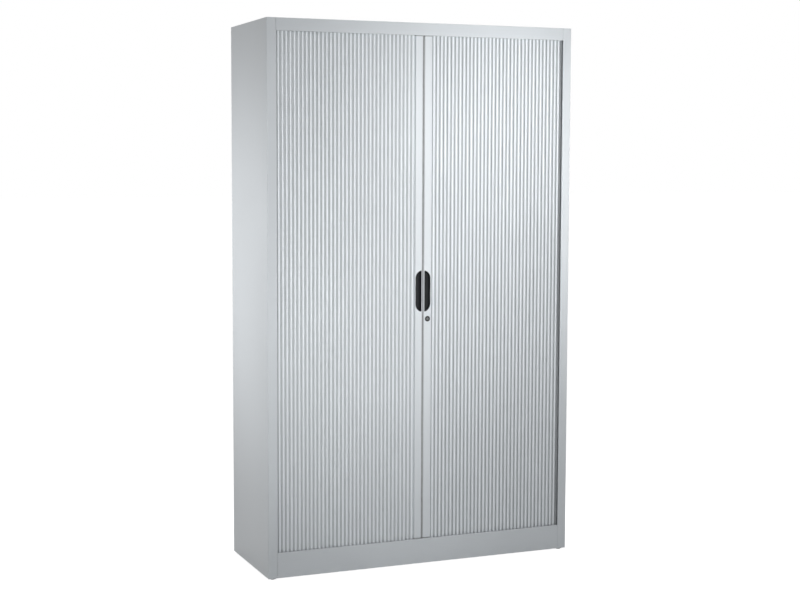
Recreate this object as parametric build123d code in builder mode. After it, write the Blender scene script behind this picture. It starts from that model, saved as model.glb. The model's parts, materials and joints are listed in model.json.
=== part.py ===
from build123d import *
import os
from math import ceil, cos, pi, sin, tan, radians

os.makedirs("parts", exist_ok=True)

# Tambour door cabinet, all sizes in millimetres.
# X runs to the right, the front faces -Y and Z points up. The origin lies on the floor, at the middle
# of the cabinet. Left-hand pieces are drawn and the right-hand ones mirrored.

# overall size
width = 1200.0
depth = 420.0
height = 1980.0

# sheet steel carcass
sheet = 1.0
bend_radius = 1.5
flange = 18.0
top_fold = 14.0
stile_width = 34.0
stile_return = 3.0
hem_width = 12.0
rail_height = 45.0
lip_depth = 6.0
plinth_top = 96.0
seam = 0.4
foot_gap = 5.0
deep_flange = 34.0
rivet_head_height = 1.0
rivet_head_radius = 3.5
rivet_crown = 0.7
rivet_radius = 2.0
rivets_per_side = 9
rivets_along_top = 5
hole_clearance = 0.1

# side and rear pockets that take the open curtains
inner_wall_inset = 38.0
inner_wall_setback = 52.0
inner_wall_flange = 12.0
inner_back_setback = 26.0

# curtain of upright slats
slat_pitch = 15.07
slat_recess = 10.0
slat_front = 5.5
slat_back = 2.0
slat_shoulder = 3.9
slat_wall = 1.2
rib_gap = 2.4
rib_end = 4.5
tail_slats = 4
bead_radius = 1.1
bead_clearance = 0.2
socket_wall = 0.7
socket_mouth = 50.0
neck = 0.8

# route of the curtain, followed by the pins between the slats
pocket_inset = 15.0
corner_radius = 30.0
rear_clearance = 8.0

# tracks
track_height = 10.0
track_floor = 2.0
track_wall = 1.4
track_clearance = 1.3
track_sink = 1.0
glide_gap = 0.3
end_play = 2.0
stop_length = 8.0
stop_play = 3.0
track_screw_radius = 1.5
track_screw_head = 3.0
track_screw_length = 9.0
track_screw_start = 60.0

# leading end profile of each leaf
lead_reach = 34.25
lead_inner = 4.2
lead_depth = 14.0
lead_wall = 1.5
lead_edge_radius = 1.6
lead_end_gap = 1.5
cap_thickness = 1.8
cap_plug = 18.0
cap_fit = 0.2
tongue_inset = 1.0
open_margin = 5.75
fin_length = 2.0
fin_thickness = 1.2
strip_setback = 2.5
strip_depth = 6.0
strip_gap = 0.4

# grip cups, two halves of one upright capsule
grip_height = 153.0
grip_span = 59.0
grip_bridge = 12.0
grip_centre = 1012.5
grip_corner = 3.0
cup_wall = 1.5
cup_floor = 3.0
cup_floor_radius = 2.0
fit_gap = 0.15
grip_screw_radius = 1.5
grip_screw_head = 2.8
grip_screw_head_height = 1.6
grip_screw_length = 4.0
grip_screw_inset = 24.0

# lock
lock_x = 18.6
lock_z = 910.5
rosette_radius = 10.0
rosette_bore = 5.6
rosette_height = 1.5
housing_radius = 8.0
core_radius = 5.0
running_gap = 0.05
core_set_in = 0.6
keyway_width = 1.6
keyway_length = 6.4
keyway_depth = 6.0
nut_across_flats = 20.0
nut_thickness = 3.0
tail_side = 5.6
hook_thickness = 2.0
hook_gap = 0.3
hook_boss = 7.0
hook_half_width = 4.0
hook_length = 33.0
tooth_length = 6.5
tooth_width = 4.8
hook_screw_radius = 1.9
hook_screw_head = 4.0
hook_screw_head_height = 2.0
hook_screw_length = 8.0
strike_thickness = 1.5
strike_left = 28.0
strike_height = 50.0
strike_tab = 2.0
strike_corner = 2.0
strike_tab_height = 6.9
strike_clearance = 0.4
strike_screw_radius = 1.4
strike_screw_head = 2.6
strike_screw_head_height = 1.3
strike_screw_spacing = 36.0
strike_screw_inset = 7.0

# shelves
shelf_count = 4
slot_pitch = 25.0
slots_per_shelf = 15
shelf_front = 60.0
shelf_side_gap = 2.0
shelf_back_gap = 3.0
shelf_thickness = 30.0
shelf_return = 10.0
slot_width = 3.0
slot_height = 12.0
slot_row_inset = 38.0
hook_rise = 4.0
hook_plate = 2.5
hook_reach = 10.0

# levelling feet
foot_inset = 21.0
pad_radius = 12.0
pad_height = 5.0
pad_edge_radius = 1.7
stud_radius = 5.0
stud_length = 45.0
stud_chamfer = 1.0
collar_across_flats = 13.0
collar_height = 5.0
foot_nut_across_flats = 17.0
foot_nut_height = 8.0
bracket_sheet = 2.0
bracket_width = 46.0
bracket_depth = 41.0
bracket_gap = 0.3

# holes for fixing the cabinet to a wall
wall_hole_radius = 4.0
wall_access_radius = 10.0
wall_hole_spacing = 500.0
wall_hole_drop = 80.0

# planes and lines that several pieces share
front = -depth / 2
rear = depth / 2
half_width = width / 2
side_inner = half_width - sheet
stile_edge = half_width - stile_width
back_outer = rear - rivet_head_height
back_inner = back_outer - sheet
inner_wall = half_width - inner_wall_inset
inner_back = back_inner - inner_back_setback
base_top = plinth_top - track_sink - track_height
ceiling_under = height - rail_height + track_sink + track_height
slat_face = front + slat_recess
pin_front = slat_face + slat_front
pin_rear = back_inner - rear_clearance - slat_front
pin_side = half_width - pocket_inset
arc_x = pin_side - corner_radius
arc_front = pin_front + corner_radius
arc_rear = pin_rear - corner_radius
slat_bottom = base_top + track_floor + glide_gap
slat_top = ceiling_under - track_floor - end_play
lead_outer = lead_reach - rib_gap
lead_rear = slat_face + lead_depth
lead_bottom = plinth_top + lead_end_gap
lead_top = height - rail_height - lead_end_gap
socket_bore = bead_radius + bead_clearance
socket_radius = socket_bore + socket_wall

# curtain lengths
front_run = arc_x - lead_reach
arc_run = corner_radius * pi / 2
side_run = arc_rear - arc_front
travel = front_run - open_margin
slat_count = ceil((stile_edge - lead_reach) / slat_pitch) + tail_slats
rear_run = travel + slat_count * slat_pitch - front_run - 2 * arc_run - side_run
track_end = arc_x - rear_run - stop_length - stop_play


def strip(x, y, mode=Mode.ADD):
    """A rectangle of the sketch between two values of each of its axes."""
    with Locations(((x[0] + x[1]) / 2, (y[0] + y[1]) / 2)):
        Rectangle(abs(x[1] - x[0]), abs(y[1] - y[0]), mode=mode)


def slab(x, y, z, mode=Mode.ADD):
    """A block of the part between two values of each axis."""
    with Locations(((x[0] + x[1]) / 2, (y[0] + y[1]) / 2, (z[0] + z[1]) / 2)):
        Box(abs(x[1] - x[0]), abs(y[1] - y[0]), abs(z[1] - z[0]), mode=mode)


def mirrored(piece):
    """The right-hand twin of a left-hand piece."""
    with BuildPart() as twin:
        mirror(piece.part, about=Plane.YZ)
    return twin


def save(piece, name):
    """Names a finished piece and writes it."""
    piece.part.label = name
    export_step(piece.part, f"parts/{name}.step")


def front_plane(y):
    """An upright plane at depth y, with its own axes along X and Z and its normal towards the front."""
    return Plane.XZ.offset(-y)


def near(shapes, point):
    """The one of several vertices or edges that lies nearest a point."""
    return shapes.sort_by_distance(point)[0]


# side panels: one sheet each, folded round the stile in front and into a flange behind
rivet_x = half_width - flange / 2
rivet_low = foot_gap + deep_flange
rivet_step = (height - 2 * deep_flange - foot_gap) / (rivets_per_side - 1)
rivet_rows = [rivet_low + rivet_step * i for i in range(rivets_per_side)]

with BuildPart() as left_side_panel:
    with BuildSketch(Plane.XY.offset(foot_gap)) as side_section:
        strip((-half_width, -side_inner), (front, back_inner))
        strip((-half_width, -stile_edge), (front, front + sheet))
        strip((-stile_edge - sheet, -stile_edge), (front, front + stile_return))
        strip((-stile_edge - hem_width, -stile_edge),
              (front + stile_return - sheet, front + stile_return))
        strip((-half_width, -half_width + flange), (back_inner - sheet, back_inner))
        fillet(near(side_section.vertices(), (-half_width, front)), bend_radius)
        fillet(near(side_section.vertices(), (-stile_edge, front)), bend_radius)
        fillet(near(side_section.vertices(), (-half_width, back_inner)), bend_radius)
    extrude(amount=height - foot_gap)
    slab((-side_inner, -stile_edge), (front + sheet, front + stile_return), (height - sheet, height),
         mode=Mode.SUBTRACT)
    with BuildSketch(front_plane(back_inner)):
        with Locations([(-rivet_x, z) for z in rivet_rows]):
            Circle(rivet_radius + hole_clearance)
    extrude(amount=2 * sheet, mode=Mode.SUBTRACT)
save(left_side_panel, "left_side_panel")
right_side_panel = mirrored(left_side_panel)
save(right_side_panel, "right_side_panel")

# top: skin, front rail folded down between the stiles with a turned-in lip, and side and rear folds
rail_half = stile_edge - seam
rail_bottom = height - rail_height
rear_fold_half = half_width - flange - seam
rear_fold = (back_inner - sheet, back_inner)
top_rivet_x = [(i - (rivets_along_top - 1) / 2) * width / (rivets_along_top + 1)
               for i in range(rivets_along_top)]
top_rivet_z = height - top_fold / 2

with BuildPart() as top_panel:
    with BuildSketch(Plane.YZ) as rail_section:
        strip((front, arc_front), (height - sheet, height))
        strip((front, front + sheet), (rail_bottom, height))
        strip((front, front + lip_depth), (rail_bottom, rail_bottom + sheet))
        fillet(near(rail_section.vertices(), (front, height)), bend_radius)
        fillet(near(rail_section.vertices(), (front, rail_bottom)), bend_radius)
    extrude(amount=rail_half, both=True)
    slab((-side_inner, side_inner), (front + sheet, back_inner - sheet), (height - sheet, height))
    slab((-rear_fold_half, rear_fold_half), rear_fold, (height - top_fold, height))
    for edge in (-side_inner, side_inner - sheet):
        slab((edge, edge + sheet), (arc_front, arc_rear), (height - top_fold, height))
    with BuildSketch(front_plane(back_inner)):
        with Locations([(x, top_rivet_z) for x in top_rivet_x]):
            Circle(rivet_radius + hole_clearance)
    extrude(amount=2 * sheet, mode=Mode.SUBTRACT)
save(top_panel, "top_panel")

# screws that hold the tracks: along the front, beside each pocket and behind
floor_front = front + lip_depth + sheet
screw_points = [(-x, pin_front) for x in (track_screw_start, arc_x / 2, arc_x - corner_radius)]
screw_points += [(-pin_side, 0.0), (-(track_end + arc_x) / 2, pin_rear)]
all_screw_points = screw_points + [(-x, y) for x, y in screw_points]


def folded_floor(underside, fold):
    """Adds a sheet across the carcass with a fold along each edge to the open part."""
    slab((-side_inner, side_inner), (floor_front, back_inner - sheet), (underside, underside + sheet))
    slab((-side_inner, side_inner), (floor_front, floor_front + sheet), fold)
    slab((-rear_fold_half, rear_fold_half), rear_fold, fold)
    for edge in (-side_inner, side_inner - sheet):
        slab((edge, edge + sheet), (floor_front, back_inner - sheet), fold)
    with Locations([(x, y, underside + sheet / 2) for x, y in all_screw_points]):
        Cylinder(track_screw_radius + hole_clearance, 2 * sheet, mode=Mode.SUBTRACT)


with BuildPart() as base_panel:
    folded_floor(base_top - sheet, (base_top - deep_flange, base_top))
save(base_panel, "base_panel")

with BuildPart() as ceiling_panel:
    folded_floor(ceiling_under, (ceiling_under, ceiling_under + flange))
save(ceiling_panel, "ceiling_panel")

# plinth between the stiles, with a ledge that leads to the bottom tracks
with BuildPart() as plinth:
    with BuildSketch(Plane.YZ) as plinth_section:
        strip((front, front + sheet), (foot_gap, plinth_top))
        strip((front, floor_front), (plinth_top - sheet, plinth_top))
        strip((floor_front - sheet, floor_front), (base_top - flange, plinth_top))
        strip((front, front + hem_width), (foot_gap, foot_gap + sheet))
        fillet(near(plinth_section.vertices(), (front, plinth_top)), bend_radius)
        fillet(near(plinth_section.vertices(), (front, foot_gap)), bend_radius)
    extrude(amount=rail_half, both=True)
save(plinth, "plinth")

# back panel, riveted on the folds from behind
wall_holes = [(x, height - wall_hole_drop) for x in (-wall_hole_spacing / 2, wall_hole_spacing / 2)]
rivet_points = [(side * rivet_x, z) for side in (-1, 1) for z in rivet_rows]
rivet_points += [(x, top_rivet_z) for x in top_rivet_x]

with BuildPart() as back_panel:
    with BuildSketch(front_plane(back_outer)):
        strip((-side_inner, side_inner), (foot_gap, height))
        with Locations(wall_holes):
            Circle(wall_hole_radius, mode=Mode.SUBTRACT)
        with Locations(rivet_points):
            Circle(rivet_radius + hole_clearance, mode=Mode.SUBTRACT)
    extrude(amount=sheet)
save(back_panel, "back_panel")

with BuildPart() as back_panel_rivets:
    with BuildSketch(front_plane(back_outer)):
        with Locations(rivet_points):
            Circle(rivet_radius)
    extrude(amount=2 * sheet)
    with BuildSketch(front_plane(rear)):
        with Locations(rivet_points):
            Circle(rivet_head_radius)
    extrude(amount=rivet_head_height)
    crowns = back_panel_rivets.edges().group_by(Axis.Y)[-1]
    fillet(crowns, rivet_crown)
save(back_panel_rivets, "back_panel_rivets")

# slotted inner walls between the compartments and the side pockets
slot_first = (slots_per_shelf * slot_pitch - shelf_thickness - hook_rise) % slot_pitch + slot_pitch
slot_count = int((ceiling_under - base_top - 2 * slot_first) / slot_pitch) + 1
row_front = front + inner_wall_setback + slot_row_inset
row_rear = inner_back - slot_row_inset
slot_rows = [(y, base_top + slot_first + slot_pitch * i)
             for y in (row_front, row_rear) for i in range(slot_count)]
wall_front = front + inner_wall_setback

with BuildPart() as left_inner_wall:
    with BuildSketch(Plane.XY.offset(base_top)):
        strip((-inner_wall, -inner_wall + sheet), (wall_front, inner_back))
        strip((-inner_wall - inner_wall_flange, -inner_wall), (wall_front, wall_front + sheet))
        strip((-inner_wall, -inner_wall + inner_wall_flange), (inner_back - sheet, inner_back))
    extrude(amount=ceiling_under - base_top)
    with BuildSketch(Plane.YZ.offset(-inner_wall)):
        with Locations(slot_rows):
            Rectangle(slot_width, slot_height)
    extrude(amount=sheet, mode=Mode.SUBTRACT)
save(left_inner_wall, "left_inner_wall")
right_inner_wall = mirrored(left_inner_wall)
save(right_inner_wall, "right_inner_wall")

with BuildPart() as inner_back_panel:
    with BuildSketch(front_plane(inner_back + sheet)):
        strip((-inner_wall, inner_wall), (base_top, ceiling_under))
        with Locations(wall_holes):
            Circle(wall_access_radius, mode=Mode.SUBTRACT)
    extrude(amount=sheet)
save(inner_back_panel, "inner_back_panel")

# shelves: folded trays, open below, each resting on four hooks that hang in the slots
shelf_half = inner_wall - sheet - shelf_side_gap
shelf_y = (front + shelf_front, inner_back - sheet - shelf_back_gap)
shelf_tops = [base_top + slot_pitch * slots_per_shelf * (i + 1) for i in range(shelf_count)]

for number, top in enumerate(shelf_tops, 1):
    bottom = top - shelf_thickness
    with BuildPart() as shelf:
        slab((-shelf_half, shelf_half), shelf_y, (bottom, top))
        slab((-shelf_half + sheet, shelf_half - sheet), (shelf_y[0] + sheet, shelf_y[1] - sheet),
             (bottom + sheet, top - sheet), mode=Mode.SUBTRACT)
        slab((-shelf_half + sheet, shelf_half - sheet),
             (shelf_y[0] + shelf_return, shelf_y[1] - shelf_return),
             (bottom, bottom + sheet), mode=Mode.SUBTRACT)
        front_edges = shelf.edges().filter_by(Axis.X).group_by(Axis.Y)[0]
        fillet(front_edges.group_by(Axis.Z)[-1], bend_radius)
    save(shelf, f"shelf_{number}")

with BuildPart() as left_hooks:
    for top in shelf_tops:
        seat = top - shelf_thickness
        slot_z = seat - hook_rise
        for row in (row_front, row_rear):
            y = (row - hook_plate / 2, row + hook_plate / 2)
            slab((-inner_wall, -inner_wall + sheet + hook_reach), y, (slot_z - hook_rise, seat))
            slab((-inner_wall - 2 * sheet, -inner_wall), y, (slot_z - slot_height, seat))
with BuildPart() as shelf_hooks:
    add(left_hooks.part)
    mirror(left_hooks.part, about=Plane.YZ)
save(shelf_hooks, "shelf_hooks")

# tracks: channels whose groove follows the curtain round both corners
groove_in = -(slat_back + track_clearance)
groove_out = slat_front + track_clearance


def band(inner, outer):
    """The strip of the curtain's route between two offsets from its pins."""
    with BuildSketch() as outline:
        with BuildLine():
            for offset in (inner, outer):
                FilletPolyline(
                    (0.0, pin_front - offset),
                    (-pin_side - offset, pin_front - offset),
                    (-pin_side - offset, pin_rear + offset),
                    (-track_end, pin_rear + offset),
                    radius=corner_radius + offset,
                )
            Line((0.0, pin_front - inner), (0.0, pin_front - outer))
            Line((-track_end, pin_rear + inner), (-track_end, pin_rear + outer))
        make_face()
    return outline.sketch


channel_outline = band(groove_in - track_wall, groove_out + track_wall)
groove_outline = band(groove_in, groove_out)


def track_screw_shapes(groove_z, away, gap, mode=Mode.ADD):
    """Adds countersunk screws to the open part, flush with a groove's floor and pointing away from it."""
    head_height = track_screw_head - track_screw_radius
    radii = (track_screw_head + gap, track_screw_radius + gap)
    bottom_radius, top_radius = radii if away > 0 else radii[::-1]
    with Locations([(x, y, groove_z + away * head_height / 2) for x, y in screw_points]):
        Cone(bottom_radius, top_radius, head_height, mode=mode)
    with Locations([(x, y, groove_z + away * track_screw_length / 2) for x, y in screw_points]):
        Cylinder(track_screw_radius + gap, track_screw_length, mode=mode)


def track(floor_z, mouth_z, away):
    """A left-hand track between its floor and its mouth, with its screw holes."""
    groove_z = floor_z - away * track_floor
    with BuildPart() as channel:
        with BuildSketch(Plane.XY.offset(floor_z)):
            add(channel_outline)
        extrude(amount=mouth_z - floor_z)
        with BuildSketch(Plane.XY.offset(groove_z)):
            add(groove_outline)
        extrude(amount=mouth_z - groove_z, mode=Mode.SUBTRACT)
        track_screw_shapes(groove_z, away, hole_clearance, mode=Mode.SUBTRACT)
    return channel


bottom_mouth = base_top + track_height
top_mouth = ceiling_under - track_height
bottom_groove = base_top + track_floor
top_groove = ceiling_under - track_floor
left_bottom_track = track(base_top, bottom_mouth, -1)
save(left_bottom_track, "left_bottom_track")
right_bottom_track = mirrored(left_bottom_track)
save(right_bottom_track, "right_bottom_track")
left_top_track = track(ceiling_under, top_mouth, 1)
save(left_top_track, "left_top_track")
right_top_track = mirrored(left_top_track)
save(right_top_track, "right_top_track")

with BuildPart() as left_track_screws:
    track_screw_shapes(bottom_groove, -1, 0.0)
    track_screw_shapes(top_groove, 1, 0.0)
with BuildPart() as track_screws:
    add(left_track_screws.part)
    mirror(left_track_screws.part, about=Plane.YZ)
save(track_screws, "track_screws")

# soft blocks in the ends of the rear grooves, which stop the open curtains
with BuildPart() as left_stops:
    for z in ((bottom_groove, bottom_mouth), (top_mouth, top_groove)):
        slab((-track_end - stop_length, -track_end), (pin_rear + groove_in, pin_rear + groove_out), z)
with BuildPart() as track_end_stops:
    add(left_stops.part)
    mirror(left_stops.part, about=Plane.YZ)
save(track_end_stops, "track_end_stops")


def socket(centre, turn):
    """Adds a round socket with a flared mouth, turned by some degrees from +X, to the open sketch."""
    mouth_depth = 2 * socket_radius
    mouth_half = mouth_depth * tan(radians(socket_mouth))
    with Locations(Location((centre[0], centre[1], 0), (0, 0, turn))):
        Circle(socket_radius)
        Circle(socket_bore, mode=Mode.SUBTRACT)
        Polygon((0, 0), (mouth_depth, -mouth_half), (mouth_depth, mouth_half), align=None,
                mode=Mode.SUBTRACT)


def pin_place(distance):
    """A point of the left curtain's pin line, at a distance along it behind the lead profile's pin."""
    if distance <= front_run:
        return Vector(-lead_reach - distance, pin_front)
    if distance <= front_run + arc_run:
        angle = (distance - front_run) / corner_radius
        return Vector(-arc_x - corner_radius * sin(angle), arc_front - corner_radius * cos(angle))
    return Vector(-pin_side, arc_front + distance - front_run - arc_run)


# curtains: hollow slats with a crowned rib in front, each with a bead in the socket of the one before
rib_start = rib_gap - slat_pitch / 2
rib_middle = (rib_start + rib_end) / 2
pins = [pin_place(slat_pitch * i) for i in range(slat_count + 1)]
slat_planes = [Plane(origin=((a + b) / 2).project_to_plane(Plane.XY.offset(slat_bottom)),
                     x_dir=b - a, z_dir=(0, 0, 1)) for a, b in zip(pins, pins[1:])]

with BuildSketch() as slat_section:
    with BuildLine():
        Polyline((rib_start, slat_shoulder), (rib_start, -slat_back), (rib_end, -slat_back),
                 (rib_end, slat_shoulder))
        ThreePointArc((rib_end, slat_shoulder), (rib_middle, slat_front), (rib_start, slat_shoulder))
    make_face()
    for shoulder in ((rib_start, slat_shoulder), (rib_end, slat_shoulder)):
        fillet(near(slat_section.vertices(), shoulder), slat_wall)
    strip((rib_start, slat_pitch / 2), (-slat_back, slat_back))
    strip((rib_start + slat_wall, rib_end - slat_wall),
          (slat_wall - slat_back, slat_shoulder - slat_wall / 2), mode=Mode.SUBTRACT)
    socket((slat_pitch / 2, 0), 0)
    with Locations((-slat_pitch / 2, 0)):
        Circle(bead_radius)
    strip((-slat_pitch / 2, rib_start), (-neck / 2, neck / 2))

with BuildPart() as left_curtain_slats:
    with BuildSketch(*slat_planes):
        add(slat_section.sketch)
    extrude(amount=slat_top - slat_bottom)
save(left_curtain_slats, "left_curtain_slats")
right_curtain_slats = mirrored(left_curtain_slats)
save(right_curtain_slats, "right_curtain_slats")


def grip_outline(margin):
    """The left half of the grip capsule, with rounded corners beside the bridge, grown by a margin."""
    with BuildSketch() as outline:
        with Locations((0, grip_centre)):
            SlotOverall(grip_height, grip_span, rotation=90)
        strip((-grip_span, -grip_bridge / 2), (grip_centre - grip_height, grip_centre + grip_height),
              mode=Mode.INTERSECT)
        fillet(outline.vertices().group_by(Axis.X)[-1], grip_corner)
        if margin:
            offset(amount=margin)
    return outline.sketch


# lead profiles: hollow extrusions with a socket for the first slat and a fin for the closing strip
cup_hole = grip_outline(fit_gap)
cup_outline = grip_outline(0)
cup_hollow = grip_outline(-cup_wall)
cup_depth = lead_depth - lead_wall
hollow_floor = slat_face + cup_depth - cup_floor
fin_y = (pin_front - fin_thickness / 2, pin_front + fin_thickness / 2)
fin_tip = -lead_inner + fin_length
cup_middle = (grip_span + grip_bridge) / 4
grip_screw_points = [(-cup_middle, grip_centre + side * (grip_height / 2 - grip_screw_inset))
                     for side in (-1, 1)]


def lead_profile():
    """The left end profile, with the opening for its grip cup and the holes for its screws."""
    with BuildPart() as profile:
        with BuildSketch(Plane.XY.offset(lead_bottom)) as section:
            strip((-lead_outer, -lead_inner), (slat_face, lead_rear))
            fillet(near(section.vertices(), (-lead_inner, slat_face)), lead_edge_radius)
            fillet(near(section.vertices(), (-lead_outer, slat_face)), lead_edge_radius)
            strip((-lead_outer + lead_wall, -lead_inner - lead_wall),
                  (slat_face + lead_wall, lead_rear - lead_wall), mode=Mode.SUBTRACT)
            strip((-lead_inner, fin_tip), fin_y)
            strip((-lead_reach + socket_bore + socket_wall / 2, -lead_outer),
                  (pin_front - neck, pin_front + neck))
            socket((-lead_reach, pin_front), 180)
        extrude(amount=lead_top - lead_bottom)
        with BuildSketch(front_plane(slat_face)):
            add(cup_hole)
        extrude(amount=-2 * lead_wall, mode=Mode.SUBTRACT)
        with BuildSketch(front_plane(lead_rear)):
            with Locations(grip_screw_points):
                Circle(grip_screw_radius + hole_clearance)
        extrude(amount=2 * lead_wall, mode=Mode.SUBTRACT)
    return profile


left_blank = lead_profile()
strike_screw_points = [(strike_screw_inset - strike_left, lock_z + side * strike_screw_spacing / 2)
                       for side in (-1, 1)]

with BuildPart() as left_lead_profile:
    add(left_blank.part)
    with BuildSketch(front_plane(lead_rear)):
        with Locations(strike_screw_points):
            Circle(strike_screw_radius + hole_clearance)
    extrude(amount=2 * lead_wall, mode=Mode.SUBTRACT)
save(left_lead_profile, "left_lead_profile")

with BuildPart() as right_lead_profile:
    mirror(left_blank.part, about=Plane.YZ)
    with BuildSketch(front_plane(lead_rear)):
        with Locations((lock_x, lock_z)):
            Circle(housing_radius + hole_clearance)
    extrude(amount=lead_depth, mode=Mode.SUBTRACT)
save(right_lead_profile, "right_lead_profile")

# end glides: a plug in each end of the profile, a cap over it and a tongue that runs in the groove
tongue_y = (slat_face, pin_front + slat_back)
plug_inset = lead_wall + cap_fit

with BuildPart() as left_end_glides:
    for end, away, tip in ((lead_bottom, -1, slat_bottom), (lead_top, 1, slat_top)):
        cap_face = end + away * cap_thickness
        slab((-lead_outer, -lead_inner), (slat_face, lead_rear), (end, cap_face))
        slab((-lead_outer + tongue_inset, -lead_inner - tongue_inset), tongue_y, (cap_face, tip))
        slab((-lead_outer + plug_inset, -lead_inner - plug_inset),
             (slat_face + plug_inset, lead_rear - plug_inset), (end - away * cap_plug, end))
save(left_end_glides, "left_end_glides")
right_end_glides = mirrored(left_end_glides)
save(right_end_glides, "right_end_glides")

# closing strips: soft lips on the fins, set back from the faces, which meet in the middle
strip_y = (slat_face + strip_setback, slat_face + strip_setback + strip_depth)
with BuildPart() as left_closing_strip:
    with BuildSketch(Plane.XY.offset(lead_bottom)):
        strip((-lead_inner, -strip_gap), strip_y)
        strip((-lead_inner, fin_tip), fin_y, mode=Mode.SUBTRACT)
    extrude(amount=lead_top - lead_bottom)
    tip_edges = left_closing_strip.edges().filter_by(Axis.Z).group_by(Axis.X)[-1]
    fillet(tip_edges, strip_setback / 2)
save(left_closing_strip, "left_closing_strip")
right_closing_strip = mirrored(left_closing_strip)
save(right_closing_strip, "right_closing_strip")

# grip cups: moulded cups set in the profiles, screwed on from behind
with BuildPart() as left_grip_cup:
    with BuildSketch(front_plane(slat_face)):
        add(cup_outline)
    extrude(amount=-cup_depth)
    with BuildSketch(front_plane(slat_face)):
        add(cup_hollow)
    extrude(amount=cup_floor - cup_depth, mode=Mode.SUBTRACT)
    fillet(left_grip_cup.edges().filter_by_position(Axis.Y, hollow_floor, hollow_floor), cup_floor_radius)
    with BuildSketch(front_plane(slat_face + cup_depth)):
        with Locations(grip_screw_points):
            Circle(grip_screw_radius + running_gap)
    extrude(amount=grip_screw_length - lead_wall, mode=Mode.SUBTRACT)
save(left_grip_cup, "left_grip_cup")
right_grip_cup = mirrored(left_grip_cup)
save(right_grip_cup, "right_grip_cup")


def rear_screws(points, shank_radius, length, head_radius, head_height, seat):
    """Pan-head screws driven forwards into a seat that faces the back."""
    with BuildPart() as group:
        with BuildSketch(front_plane(seat)):
            with Locations(points):
                Circle(shank_radius)
        extrude(amount=length)
        with BuildSketch(front_plane(seat)):
            with Locations(points):
                Circle(head_radius)
        extrude(amount=-head_height)
        fillet(group.edges().group_by(Axis.Y)[-1], head_height / 2)
    return group


left_grip_screws = rear_screws(grip_screw_points, grip_screw_radius, grip_screw_length,
                               grip_screw_head, grip_screw_head_height, lead_rear)
save(left_grip_screws, "left_grip_screws")
right_grip_screws = mirrored(left_grip_screws)
save(right_grip_screws, "right_grip_screws")

# lock: rosette and housing in the right profile, clamped by a nut behind it
housing_end = lead_rear + nut_thickness
with BuildPart() as lock_rosette:
    with BuildSketch(front_plane(slat_face)):
        with Locations((lock_x, lock_z)):
            Circle(rosette_radius)
            Circle(rosette_bore, mode=Mode.SUBTRACT)
    extrude(amount=rosette_height)
    fillet(lock_rosette.edges().group_by(Axis.Y)[0].sort_by(SortBy.LENGTH)[-1], rosette_height / 2)
save(lock_rosette, "lock_rosette")

with BuildPart() as lock_housing:
    with BuildSketch(front_plane(slat_face)):
        with Locations((lock_x, lock_z)):
            Circle(housing_radius)
            Circle(core_radius + running_gap, mode=Mode.SUBTRACT)
    extrude(amount=slat_face - housing_end)
save(lock_housing, "lock_housing")

with BuildPart() as lock_nut:
    with BuildSketch(front_plane(lead_rear)):
        with Locations((lock_x, lock_z)):
            RegularPolygon(nut_across_flats / 2, 6, major_radius=False)
            Circle(housing_radius + running_gap, mode=Mode.SUBTRACT)
    extrude(amount=-nut_thickness)
save(lock_nut, "lock_nut")

# lock core with its keyway, a square tail, and the hook bolt screwed on the tail
core_front = slat_face - rosette_height + core_set_in
hook_front = housing_end + hook_gap
hook_rear = hook_front + hook_thickness
with BuildPart() as lock_core:
    with BuildSketch(front_plane(core_front)):
        with Locations((lock_x, lock_z)):
            Circle(core_radius)
    extrude(amount=core_front - housing_end)
    with BuildSketch(front_plane(housing_end)):
        with Locations((lock_x, lock_z)):
            Rectangle(tail_side, tail_side)
    extrude(amount=housing_end - hook_rear)
    with BuildSketch(front_plane(core_front)):
        with Locations((lock_x, lock_z)):
            Rectangle(keyway_width, keyway_length)
    extrude(amount=-keyway_depth, mode=Mode.SUBTRACT)
    with BuildSketch(front_plane(hook_rear)):
        with Locations((lock_x, lock_z)):
            Circle(hook_screw_radius + running_gap)
    extrude(amount=hook_screw_length, mode=Mode.SUBTRACT)
save(lock_core, "lock_core")

# the hook stands up when the lock is open; a quarter turn lays it across the gap, its tooth down
tooth_inner = hook_length - tooth_width
with BuildPart() as lock_hook:
    with BuildSketch(front_plane(hook_front)) as hook_outline:
        with Locations((lock_x, lock_z)):
            Circle(hook_boss)
        strip((lock_x - hook_half_width, lock_x + hook_half_width), (lock_z, lock_z + hook_length))
        strip((lock_x - hook_half_width - tooth_length, lock_x),
              (lock_z + tooth_inner, lock_z + hook_length))
        fillet(near(hook_outline.vertices(), (lock_x + hook_half_width, lock_z + hook_length)),
               hook_half_width / 2)
        with Locations((lock_x, lock_z)):
            Rectangle(tail_side + 2 * running_gap, tail_side + 2 * running_gap, mode=Mode.SUBTRACT)
    extrude(amount=-hook_thickness)
save(lock_hook, "lock_hook")

lock_hook_screw = rear_screws([(lock_x, lock_z)], hook_screw_radius, hook_screw_length,
                              hook_screw_head, hook_screw_head_height, hook_rear)
save(lock_hook_screw, "lock_hook_screw")

# strike on the left profile: a plate with a tab that the tooth drops behind
tooth_face = lock_x - tooth_inner
tab_x = (tooth_face + strike_clearance, tooth_face + strike_clearance + strike_tab)
tab_top = lock_z - hook_half_width - strike_clearance
with BuildPart() as strike_plate:
    slab((-strike_left, tab_x[1]), (lead_rear, lead_rear + strike_thickness),
         (lock_z - strike_height / 2, lock_z + strike_height / 2))
    slab(tab_x, (lead_rear, hook_rear + strike_clearance), (tab_top - strike_tab_height, tab_top))
    with BuildSketch(front_plane(lead_rear + strike_thickness)):
        with Locations(strike_screw_points):
            Circle(strike_screw_radius + hole_clearance)
    extrude(amount=strike_thickness, mode=Mode.SUBTRACT)
    plate_corners = strike_plate.edges().filter_by(Axis.Y).group_by(Axis.X)[0]
    fillet(plate_corners, strike_corner)
save(strike_plate, "strike_plate")

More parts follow.
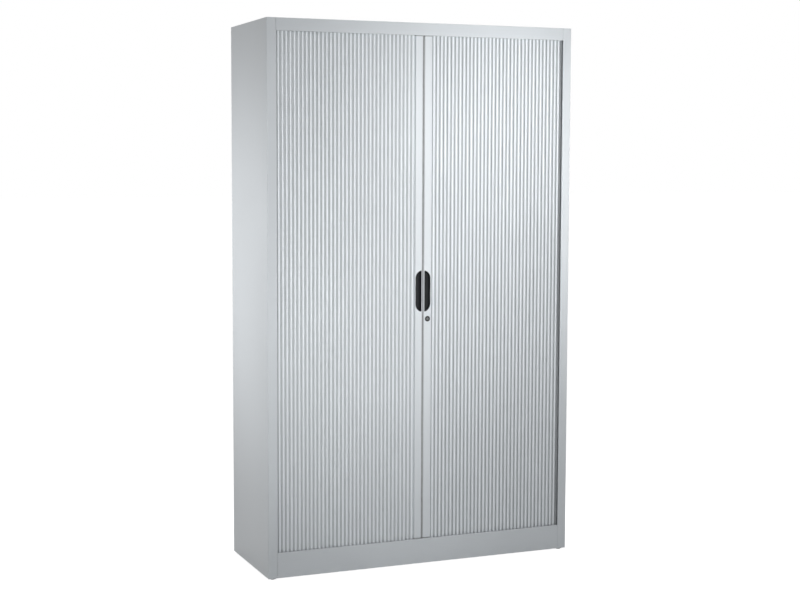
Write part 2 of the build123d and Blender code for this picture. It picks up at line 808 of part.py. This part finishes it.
strike_screws = rear_screws(strike_screw_points, strike_screw_radius, strike_thickness + 2 * lead_wall,
                            strike_screw_head, strike_screw_head_height, lead_rear + strike_thickness)
save(strike_screws, "strike_screws")

# levelling feet: a bracket with a nut in each bottom corner, and a pad on a threaded stud
foot_x = half_width - foot_inset
foot_y = rear - foot_inset
foot_places = {"front_left": (-foot_x, -foot_y), "front_right": (foot_x, -foot_y),
               "rear_left": (-foot_x, foot_y), "rear_right": (foot_x, foot_y)}
bracket_bottom = pad_height + collar_height + bracket_gap
bracket_top = base_top - sheet
bracket_outer = side_inner - sheet
bracket_inner = bracket_outer - bracket_width

with BuildPart() as foot_brackets:
    for side in (-1, 1):
        for edge, away in ((floor_front + sheet, 1), (back_inner - sheet, -1)):
            y = (edge, edge + away * bracket_depth)
            slab((side * bracket_outer, side * bracket_inner), y,
                 (bracket_bottom, bracket_bottom + bracket_sheet))
            for x in (bracket_outer, bracket_inner + bracket_sheet):
                slab((side * x, side * (x - bracket_sheet)), y, (bracket_bottom, bracket_top))
    with Locations([(x, y, bracket_bottom) for x, y in foot_places.values()]):
        Hole(stud_radius + bracket_gap)
save(foot_brackets, "foot_brackets")

with BuildPart() as foot_nuts:
    with BuildSketch(Plane.XY.offset(bracket_bottom + bracket_sheet)):
        with Locations(list(foot_places.values())):
            RegularPolygon(foot_nut_across_flats / 2, 6, major_radius=False)
            Circle(stud_radius + running_gap, mode=Mode.SUBTRACT)
    extrude(amount=foot_nut_height)
save(foot_nuts, "foot_nuts")

for place, (x, y) in foot_places.items():
    with BuildPart() as pad:
        with BuildSketch():
            with Locations((x, y)):
                Circle(pad_radius)
        extrude(amount=pad_height)
        fillet(pad.edges().group_by(Axis.Z)[-1], pad_edge_radius)
    save(pad, f"{place}_foot_pad")
    with BuildPart() as stud:
        with BuildSketch(Plane.XY.offset(pad_height)):
            with Locations((x, y)):
                RegularPolygon(collar_across_flats / 2, 6, major_radius=False)
        extrude(amount=collar_height)
        with BuildSketch(Plane.XY.offset(pad_height)):
            with Locations((x, y)):
                Circle(stud_radius)
        extrude(amount=stud_length)
        chamfer(stud.edges().group_by(Axis.Z)[-1], stud_chamfer)
    save(stud, f"{place}_foot_stud")
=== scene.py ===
import json
import math
from random import Random

import bpy
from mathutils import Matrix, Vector


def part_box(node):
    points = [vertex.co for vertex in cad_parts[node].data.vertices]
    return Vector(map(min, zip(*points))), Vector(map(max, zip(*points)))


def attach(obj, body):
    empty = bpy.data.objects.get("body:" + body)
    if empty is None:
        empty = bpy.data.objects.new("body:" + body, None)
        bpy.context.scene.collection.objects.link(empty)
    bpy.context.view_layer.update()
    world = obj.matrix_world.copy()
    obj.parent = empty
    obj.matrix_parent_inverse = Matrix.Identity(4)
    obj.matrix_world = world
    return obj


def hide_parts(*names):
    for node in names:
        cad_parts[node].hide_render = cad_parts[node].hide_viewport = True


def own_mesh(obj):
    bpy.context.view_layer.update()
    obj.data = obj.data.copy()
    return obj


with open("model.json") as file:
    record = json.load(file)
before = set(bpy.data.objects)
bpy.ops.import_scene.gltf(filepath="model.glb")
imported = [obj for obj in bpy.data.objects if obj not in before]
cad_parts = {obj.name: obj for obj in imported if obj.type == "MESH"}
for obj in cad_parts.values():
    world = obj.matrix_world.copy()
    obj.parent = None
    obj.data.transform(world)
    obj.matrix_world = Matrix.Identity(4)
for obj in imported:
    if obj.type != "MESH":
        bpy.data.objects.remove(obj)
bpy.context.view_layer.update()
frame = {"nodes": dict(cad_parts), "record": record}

# Looks of the tambour door cabinet, in metres, around the solids of the frame.
# X runs to the right, the front faces -Y and Z points up.

# turns, in radians
quarter_turn, half_turn, full_turn = math.pi / 2, math.pi, 2 * math.pi

# slats of the curtains, with their beads and sockets
slat_pitch = 0.01507
slat_count = 40
slat_back = 0.002
crown_rise = 0.0055
crown_radius = 0.0060
rib_gap = 0.0024
rib_end = 0.0045
shoulder_radius = 0.0012
bead_radius = 0.0011
socket_radius = 0.002
socket_bore = 0.0013
socket_mouth = math.radians(50)
neck = 0.0008

# how far a slat leans out of the curtain's line at most, as a slope
slat_play = 0.002

# painted shade deep in the slats' grooves: the share of their tone left there, and the depths behind the
# crowns where it sets in and is full
painted_groove_shade = 0.64
painted_shade_start = 0.0010
painted_shade_end = 0.0031

# route of the curtains, along the line of their pins
corner_radius = 0.030
pocket_inset = 0.015
first_pin = 0.03425

# threaded studs of the levelling feet
stud_radius = 0.005
stud_chamfer = 0.001
collar_height = 0.005
thread_pitch = 0.0015
thread_depth = 0.0008
thread_rows = 6
thread_sides = 32

# angle from which two faces meet in a sharp edge
crease_angle = math.radians(35)

# stretches that draw noise out into lines, along the height and across it
upright_lines = (1.0, 1.0, 0.004)
level_lines = (0.05, 1.0, 1.0)

# floor, and the light that comes evenly from all round
floor_reach = 60.0
floor_colour = (0.60, 0.60, 0.60)
floor_glow = 0.90
ambient_strength = 0.2

# camera, at the photograph's viewing angle
camera_place = (-2.207, -5.038, 1.470)
camera_lens = 65.7
camera_turn = math.radians(21.26)
camera_tilt = math.radians(4.49)
camera_shift = (0.075, -0.025)

left_side, right_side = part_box("left_side_panel"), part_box("right_side_panel")
slats_low, slats_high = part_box("left_curtain_slats")


def add_node(tree, kind, inputs=(), **settings):
    """Adds a node; each input is a constant or another node's output socket."""
    made = tree.nodes.new(kind)
    for name, value in settings.items():
        setattr(made, name, value)
    for name, value in dict(inputs).items():
        if isinstance(value, bpy.types.NodeSocket):
            tree.links.new(value, made.inputs[name])
        else:
            made.inputs[name].default_value = value
    return made


def new_material(name, roughness, metallic=0.0, gloss=0.5):
    """A material with a Principled shader, and the object's own coordinates to paint by."""
    made = bpy.data.materials.new(name)
    made.use_nodes = True
    tree = made.node_tree
    shader = tree.nodes["Principled BSDF"]
    shader.inputs["Roughness"].default_value = roughness
    shader.inputs["Metallic"].default_value = metallic
    shader.inputs["Specular IOR Level"].default_value = gloss
    place = add_node(tree, "ShaderNodeTexCoord").outputs["Object"]
    return made, tree, shader, place


def noise(tree, place, scale, detail=2.0, stretch=None):
    """Noise between 0 and 1, drawn out into lines where a stretch is given."""
    if stretch:
        mapping = add_node(tree, "ShaderNodeMapping", {"Vector": place, "Scale": stretch})
        place = mapping.outputs["Vector"]
    texture = add_node(tree, "ShaderNodeTexNoise", {"Vector": place, "Scale": scale, "Detail": detail})
    return texture.outputs["Fac"]


def spread(tree, value, low, high, start=0.3, end=0.7):
    """Maps a value from start to end on to low to high."""
    return add_node(tree, "ShaderNodeMapRange", {
        "Value": value, "From Min": start, "From Max": end, "To Min": low, "To Max": high,
    }).outputs["Result"]


def shaded(tree, colour, *shares):
    """A colour multiplied by each of several values near 1."""
    result = (*colour, 1.0)
    for share in shares:
        grey = add_node(tree, "ShaderNodeCombineColor", {"Red": share, "Green": share, "Blue": share})
        mixed = add_node(tree, "ShaderNodeMix", {"Factor": 1.0, "A": result, "B": grey.outputs["Color"]},
                         data_type="RGBA", blend_type="MULTIPLY")
        result = mixed.outputs["Result"]
    return result


def dress(tree, shader, tone, roughness, height, depth):
    """Gives the shader its tone, its roughness and a bump of a height map, depth metres deep."""
    tree.links.new(tone, shader.inputs["Base Color"])
    tree.links.new(roughness, shader.inputs["Roughness"])
    bump = add_node(tree, "ShaderNodeBump", {"Height": height, "Distance": depth})
    tree.links.new(bump.outputs["Normal"], shader.inputs["Normal"])


def powder_coat(name, colour, roughness):
    """Silver powder coat: fine flakes, an orange-peel skin and slight clouds in its tone and gloss."""
    made, tree, shader, place = new_material(name, roughness, metallic=0.12, gloss=0.3)
    cloud = noise(tree, place, scale=2.5, detail=3.0)
    flake = noise(tree, place, scale=2600.0, detail=1.0)
    peel = noise(tree, place, scale=650.0)
    tone = shaded(tree, colour, spread(tree, cloud, 0.98, 1.02), spread(tree, flake, 0.96, 1.04))
    dull = spread(tree, cloud, roughness - 0.04, roughness + 0.04)
    dress(tree, shader, tone, dull, peel, depth=0.00003)
    return made


def extruded_finish(name, colour, roughness, metallic):
    """Extruded metal: faint lines along the height, and fine flakes."""
    made, tree, shader, place = new_material(name, roughness, metallic, gloss=0.3)
    line = noise(tree, place, scale=1400.0, stretch=upright_lines)
    cloud = noise(tree, place, scale=3.0)
    flake = noise(tree, place, scale=2400.0, detail=1.0)
    tone = shaded(tree, colour, spread(tree, cloud, 0.985, 1.015), spread(tree, line, 0.985, 1.015),
                  spread(tree, flake, 0.97, 1.03))
    dull = spread(tree, line, roughness - 0.03, roughness + 0.03)
    dress(tree, shader, tone, dull, line, depth=0.00001)
    return made


def slat_finish(name, colour, roughness, metallic):
    """Extruded silver slats, with shade painted into their tone, darker deep in the grooves between the
    crowns.
    """
    made, tree, shader, place = new_material(name, roughness, metallic, gloss=0.37)
    line = noise(tree, place, scale=900.0, stretch=upright_lines)
    cloud = noise(tree, place, scale=3.0)
    # painted shade: the tone darkens with depth behind the crowns, most deep in the grooves
    depth = add_node(tree, "ShaderNodeSeparateXYZ", {"Vector": place}).outputs["Y"]
    shade = spread(tree, depth, 1.0, painted_groove_shade, slats_low.y + painted_shade_start, slats_low.y + painted_shade_end)
    tone = shaded(tree, colour, spread(tree, cloud, 0.985, 1.015), spread(tree, line, 0.98, 1.02), shade)
    dull = spread(tree, line, roughness - 0.03, roughness + 0.03)
    dress(tree, shader, tone, dull, line, depth=0.00001)
    return made


def moulded(name, colour, roughness, grain=1800.0, depth=0.00003, gloss=0.4):
    """Moulded plastic or rubber with a fine eroded grain."""
    made, tree, shader, place = new_material(name, roughness, gloss=gloss)
    pits = noise(tree, place, scale=grain, detail=3.0)
    cloud = noise(tree, place, scale=40.0)
    tone = shaded(tree, colour, spread(tree, cloud, 0.92, 1.08), spread(tree, pits, 0.9, 1.1))
    dull = spread(tree, pits, roughness - 0.06, roughness + 0.06)
    dress(tree, shader, tone, dull, pits, depth)
    return made


def plated(name, colour, roughness, patch=220.0):
    """Plating on steel, with small cloudy patches and fine scratches."""
    made, tree, shader, place = new_material(name, roughness, metallic=1.0)
    patches = noise(tree, place, scale=patch, detail=3.0)
    scratches = noise(tree, place, scale=900.0, stretch=level_lines)
    tone = shaded(tree, colour, spread(tree, patches, 0.88, 1.08))
    dull = spread(tree, patches, roughness - 0.08, roughness + 0.08)
    dress(tree, shader, tone, dull, scratches, depth=0.000008)
    return made


def background_rays(tree):
    """1 for rays from the camera, in gloss or through glass, and 0 for every other ray."""
    kinds = add_node(tree, "ShaderNodeLightPath").outputs
    seen = kinds["Is Camera Ray"]
    for kind in ("Is Glossy Ray", "Is Transmission Ray"):
        larger = add_node(tree, "ShaderNodeMath", {0: seen, 1: kinds[kind]}, operation="MAXIMUM")
        seen = larger.outputs["Value"]
    return seen


def paper_white_floor(name):
    """A pale floor that keeps the soft shadow; its glow shows to the camera and in gloss alone."""
    made, tree, shader, place = new_material(name, roughness=0.9, gloss=0.0)
    fibre = noise(tree, place, scale=60.0, detail=4.0)
    tone = shaded(tree, floor_colour, spread(tree, fibre, 0.99, 1.01))
    tree.links.new(tone, shader.inputs["Base Color"])
    glow = add_node(tree, "ShaderNodeMath", {0: background_rays(tree), 1: floor_glow},
                    operation="MULTIPLY")
    shader.inputs["Emission Color"].default_value = (1.0, 1.0, 1.0, 1.0)
    tree.links.new(glow.outputs["Value"], shader.inputs["Emission Strength"])
    return made


materials = {
    "silver_steel": powder_coat("silver_powder_coat", (0.602, 0.634, 0.660), roughness=0.38),
    "inner_steel": powder_coat("inner_powder_coat", (0.590, 0.618, 0.640), roughness=0.46),
    "slat_plastic": slat_finish("silver_slat", (0.716, 0.753, 0.783), roughness=0.40, metallic=0.17),
    "profile_aluminium": extruded_finish("silver_profile", (0.655, 0.690, 0.716), roughness=0.42,
                                         metallic=0.12),
    "track_plastic": moulded("track_grey", (0.300, 0.305, 0.310), roughness=0.4, grain=900.0,
                             depth=0.00001),
    "soft_grey": moulded("soft_grey", (0.420, 0.430, 0.440), roughness=0.7),
    "black_plastic": moulded("black_plastic", (0.0045, 0.0055, 0.0065), roughness=0.5, gloss=0.2),
    "zinc_steel": plated("bright_zinc", (0.40, 0.41, 0.42), roughness=0.42),
    "lock_metal": plated("dull_nickel", (0.110, 0.112, 0.114), roughness=0.36, patch=500.0),
}
slot_of = {part["node"]: part["material_slot"] for part in frame["record"]["subparts"]}
for name, solid in frame["nodes"].items():
    solid.material_slots[0].material = materials[slot_of[name]]


def new_piece(name, vertices, faces, slot):
    """A mesh object with smooth faces and sharp creases, in the material of a slot."""
    mesh = bpy.data.meshes.new(name)
    mesh.from_pydata(vertices, [], faces)
    mesh.polygons.foreach_set("use_smooth", [True] * len(mesh.polygons))
    mesh.set_sharp_from_angle(angle=crease_angle)
    mesh.materials.append(materials[slot])
    piece = bpy.data.objects.new(name, mesh)
    bpy.context.scene.collection.objects.link(piece)
    return piece


def stack_faces(first, count, bands):
    """The sides and caps of a stack of rings of count points, which are numbered from first."""
    top = first + bands * count
    sides = [(low + i, low + (i + 1) % count, low + count + (i + 1) % count, low + count + i)
             for low in range(first, top, count) for i in range(count)]
    bottom_cap = tuple(range(first + count - 1, first - 1, -1))
    top_cap = tuple(range(top, top + count))
    return sides + [bottom_cap, top_cap]


def arc(centre, radius, start, end, steps):
    """Points of an arc from one angle to another, both ends included."""
    angles = [start + (end - start) * i / steps for i in range(steps + 1)]
    return [(centre[0] + radius * math.cos(a), centre[1] + radius * math.sin(a)) for a in angles]


def slat_section():
    """A slat's outline, anticlockwise: along the curtain, and out towards the front."""
    rib_start = rib_gap - slat_pitch / 2
    middle, half = (rib_start + rib_end) / 2, (rib_end - rib_start) / 2
    crown_centre = crown_rise - crown_radius
    lift = math.sqrt((crown_radius - shoulder_radius) ** 2 - (half - shoulder_radius) ** 2)
    shoulder = crown_centre + lift
    crown_start = math.atan2(lift, half - shoulder_radius)
    neck_angle = math.asin(neck / 2 / bead_radius)
    fillet = shoulder_radius / 2
    crown = arc((middle, crown_centre), crown_radius, crown_start, half_turn - crown_start, steps=12)
    points = [(rib_start, -slat_back)]
    points += arc((slat_pitch / 2, 0), socket_radius, -quarter_turn, -socket_mouth, steps=5)
    points += arc((slat_pitch / 2, 0), socket_bore, full_turn - socket_mouth, socket_mouth, steps=16)
    points += arc((slat_pitch / 2, 0), socket_radius, socket_mouth, quarter_turn, steps=5)
    points += arc((rib_end + fillet, slat_back + fillet), fillet, -quarter_turn, -half_turn, steps=4)
    points += arc((rib_end - shoulder_radius, shoulder), shoulder_radius, 0, crown_start, steps=5)
    points += crown[1:-1]
    points += arc((rib_start + shoulder_radius, shoulder), shoulder_radius,
                  half_turn - crown_start, half_turn, steps=5)
    points += [(rib_start, neck / 2)]
    points += arc((-slat_pitch / 2, 0), bead_radius, neck_angle, full_turn - neck_angle, steps=12)
    points += [(rib_start, -neck / 2)]
    return points


pin_front = slats_low.y + crown_rise
arc_x = -left_side[0].x - pocket_inset - corner_radius
front_run = arc_x - first_pin
arc_run = corner_radius * quarter_turn


def pin_place(distance):
    """A point of the left curtain's pin line, at a distance along it behind the leading profile."""
    if distance <= front_run:
        return Vector((-first_pin - distance, pin_front))
    if distance <= front_run + arc_run:
        angle = (distance - front_run) / corner_radius
        return Vector((-arc_x - corner_radius * math.sin(angle),
                       pin_front + corner_radius * (1 - math.cos(angle))))
    return Vector((-arc_x - corner_radius, pin_front + corner_radius + distance - front_run - arc_run))


def slats(name, side, numbers):
    """Some of a curtain's slats as one piece; side is -1 on the left and 1 on the right."""
    section = slat_section()
    play = Random(f"{name} play")
    vertices, faces = [], []
    for number in numbers:
        start, end = pin_place(slat_pitch * number), pin_place(slat_pitch * (number + 1))
        middle, along = (start + end) / 2, (end - start).normalized()
        out = Vector((-along.y, along.x))
        lean = play.uniform(-slat_play, slat_play)
        ring = [middle + along * (a - lean * o) + out * (o + lean * a) for a, o in section]
        faces += stack_faces(len(vertices), len(ring), bands=1)
        for z in (slats_low.z, slats_high.z):
            vertices += [(-side * p.x, p.y, z) for p in ring]
    if side > 0:
        faces = [face[::-1] for face in faces]
    return new_piece(name, vertices, faces, "slat_plastic")


for side_name, side in (("left", -1), ("right", 1)):
    leading = slats(f"{side_name}_leading_slat", side, range(1))
    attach(leading, f"{side_name}_leaf")
    curtain = slats(f"{side_name}_curtain", side, range(1, slat_count))
    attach(curtain, "root")
    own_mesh(curtain)
    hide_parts(f"{side_name}_curtain_slats")


def stacked(name, rings, slot):
    """A closed piece of a stack of rings of points, from the bottom up, capped at both ends."""
    vertices = [point for ring in rings for point in ring]
    return new_piece(name, vertices, stack_faces(0, len(rings[0]), bands=len(rings) - 1), slot)


def thread_rings(x, y, low, high):
    """Rings of a threaded rod: its radius follows the thread's turn, and its upper end is chamfered."""
    steps = round((high - low) / thread_pitch * thread_rows)
    for row in range(steps + 1):
        z = low + (high - low) * row / steps
        ring = []
        for i in range(thread_sides):
            turn = (z / thread_pitch - i / thread_sides) % 1.0
            radius = stud_radius - thread_depth * abs(2 * turn - 1)
            radius = min(radius, stud_radius - stud_chamfer + high - z)
            angle = full_turn * i / thread_sides
            ring.append((x + radius * math.cos(angle), y + radius * math.sin(angle), z))
        yield ring


def hexagon(x, y, across_flats, z):
    """A ring of six points, with flats across Y."""
    radius = across_flats / math.sqrt(3)
    return [(x + radius * math.cos(full_turn / 6 * i), y + radius * math.sin(full_turn / 6 * i), z)
            for i in range(6)]


for place in ("front_left", "front_right", "rear_left", "rear_right"):
    low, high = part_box(f"{place}_foot_stud")
    x, y = (low.x + high.x) / 2, (low.y + high.y) / 2
    collar_top = low.z + collar_height
    collar_rings = [hexagon(x, y, high.y - low.y, z) for z in (low.z, collar_top)]
    collar = stacked(f"{place}_foot_collar", collar_rings, "zinc_steel")
    rod = stacked(f"{place}_foot_thread", list(thread_rings(x, y, collar_top, high.z)), "zinc_steel")
    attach(collar, f"{place}_foot")
    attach(rod, f"{place}_foot")
    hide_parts(f"{place}_foot_stud")


def add_lamp(name, place, target, size, power, beam):
    """A square soft box at a place, turned to a target; its grid narrows the beam, in degrees."""
    light = bpy.data.lights.new(name, "AREA")
    light.size = size
    light.energy = power
    light.spread = math.radians(beam)
    lamp = bpy.data.objects.new(name, light)
    lamp.location = place
    lamp.rotation_euler = (Vector(target) - Vector(place)).to_track_quat("-Z", "Y").to_euler()
    lamp.visible_camera = False
    bpy.context.scene.collection.objects.link(lamp)


def add_floor():
    """A pale floor, wide enough to reach the horizon of every view."""
    mesh = bpy.data.meshes.new("floor")
    corners = [(floor_reach * x, floor_reach * y, 0) for x, y in ((-1, -1), (1, -1), (1, 1), (-1, 1))]
    mesh.from_pydata(corners, [], [(0, 1, 2, 3)])
    mesh.materials.append(paper_white_floor("studio_floor"))
    floor = bpy.data.objects.new("floor", mesh)
    bpy.context.scene.collection.objects.link(floor)


def add_world():
    """A soft even light, which shows as white behind the object and in its gloss."""
    world = bpy.data.worlds.new("studio")
    world.use_nodes = True
    bpy.context.scene.world = world
    tree = world.node_tree
    tree.nodes.clear()
    strength = spread(tree, background_rays(tree), ambient_strength, 1.0, start=0.0, end=1.0)
    background = add_node(tree, "ShaderNodeBackground",
                          {"Color": (1.0, 1.0, 1.0, 1.0), "Strength": strength})
    output = add_node(tree, "ShaderNodeOutputWorld")
    tree.links.new(background.outputs["Background"], output.inputs["Surface"])


def add_camera():
    """The camera, level with the upper part of the cabinet and to its left."""
    data = bpy.data.cameras.new("camera")
    data.lens = camera_lens
    data.shift_x, data.shift_y = camera_shift
    camera = bpy.data.objects.new("camera", data)
    camera.location = camera_place
    camera.rotation_euler = (quarter_turn - camera_tilt, 0.0, -camera_turn)
    bpy.context.scene.collection.objects.link(camera)
    bpy.context.scene.camera = camera


add_floor()
add_world()
add_camera()
add_lamp("upper_right_box", (0.9, -1.5, 1.6), (0.45, -0.2, 1.9), size=0.6, power=1.17, beam=70)
add_lamp("upper_middle_box", (0.25, -1.7, 1.6), (0.3, -0.2, 1.95), size=0.6, power=0.75, beam=60)
add_lamp("right_box", (1.3, -2.0, 1.1), (0.3, -0.2, 1.2), size=0.7, power=1.45, beam=70)
add_lamp("lower_right_box", (0.8, -1.8, 0.9), (0.2, -0.2, 0.9), size=0.8, power=1.38, beam=100)
add_lamp("left_box", (-0.9, -2.4, 1.6), (-0.3, -0.2, 1.3), size=1.0, power=5.6, beam=90)
add_lamp("lower_left_box", (-0.6, -2.2, 0.75), (-0.3, -0.2, 0.65), size=0.7, power=0.88, beam=50)
add_lamp("side_box", (-1.6, 0.5, 1.1), (-0.6, 0.1, 1.1), size=0.6, power=1.5, beam=90)
add_lamp("upper_side_box", (-1.9, 0.9, 1.5), (-0.6, 0.1, 1.4), size=0.6, power=1.45, beam=70)
add_lamp("lower_side_box", (-1.8, 0.4, 0.6), (-0.6, 0.0, 0.65), size=0.6, power=0.44, beam=50)
add_lamp("far_side_box", (2.4, 0.4, 1.3), (0.6, 0.0, 1.1), size=0.9, power=6.0, beam=100)
add_lamp("back_box", (0.9, 2.8, 1.5), (0.0, 0.2, 1.1), size=1.2, power=9.0, beam=110)
add_lamp("top_box", (0.0, 0.4, 3.4), (0.0, 0.0, 1.98), size=1.0, power=4.0, beam=70)
bpy.context.scene.view_settings.view_transform = "Standard"
